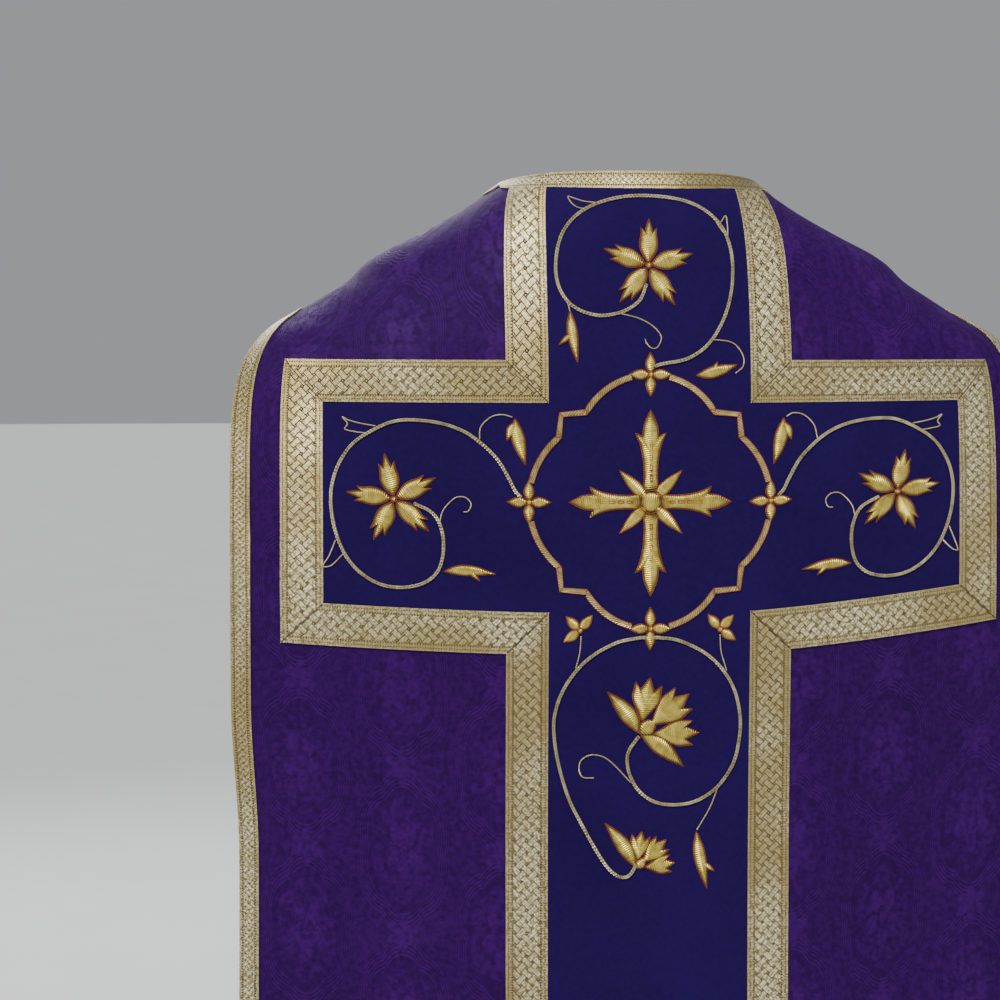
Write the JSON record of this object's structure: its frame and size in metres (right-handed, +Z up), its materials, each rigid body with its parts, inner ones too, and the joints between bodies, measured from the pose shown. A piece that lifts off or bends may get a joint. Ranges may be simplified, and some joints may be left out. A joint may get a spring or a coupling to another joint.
{
  "type": "fiddleback chasuble",
  "caption": "Stiff sleeveless vestment with open sides, a banded cross on its back and a banded pillar on its front, with raised scroll embroidery.",
  "frame": {"origin": "between the shoulders, where the neck opening rests on the wearer; level with the neck edge at the shoulder line", "axes": "+Z up, -Y out of the back of the garment, +X to the right when the back is looked at"},
  "size_m": [0.6794, 0.2606, 1.0678],
  "materials": {
    "damask": "purple silk damask, tone on tone",
    "ground_cloth": "matte deep indigo cloth",
    "galloon": "pale gold metallic woven braid",
    "satin_stitch": "padded gold satin stitch with a red-brown outline",
    "couched_cord": "champagne gold couched cord"
  },
  "bodies": {
    "root": {"back_panel": "damask", "front_panel": "damask", "cross_ground": "ground_cloth", "front_pillar_ground": "ground_cloth", "neck_galloon_back": "galloon", "neck_galloon_front": "galloon", "edge_galloon_back": "galloon", "edge_galloon_front": "galloon", "cross_galloon_left": "galloon", "cross_galloon_right": "galloon", "pillar_galloon_left": "galloon", "pillar_galloon_right": "galloon", "flower_top": "satin_stitch", "flower_left": "satin_stitch", "flower_right": "satin_stitch", "lotus_open": "satin_stitch", "lotus_half_open": "satin_stitch", "crosslet_top": "satin_stitch", "crosslet_left": "satin_stitch", "crosslet_right": "satin_stitch", "crosslet_low": "satin_stitch", "floriated_cross": "satin_stitch", "bud_top": "satin_stitch", "leaf_top": "satin_stitch", "leaf_left_upper": "satin_stitch", "leaf_right_upper": "satin_stitch", "leaf_left_lower": "satin_stitch", "leaf_right_lower": "satin_stitch", "sprig_left": "satin_stitch", "sprig_right": "satin_stitch", "bud_lower": "satin_stitch", "medallion_frame_upper_left": "satin_stitch", "medallion_frame_upper_right": "satin_stitch", "medallion_frame_lower_left": "satin_stitch", "medallion_frame_lower_right": "satin_stitch", "stem_top": "couched_cord", "stem_left": "couched_cord", "stem_right": "couched_cord", "stem_lower_left": "couched_cord", "stem_lower_right": "couched_cord"}
  },
  "joints": []
}
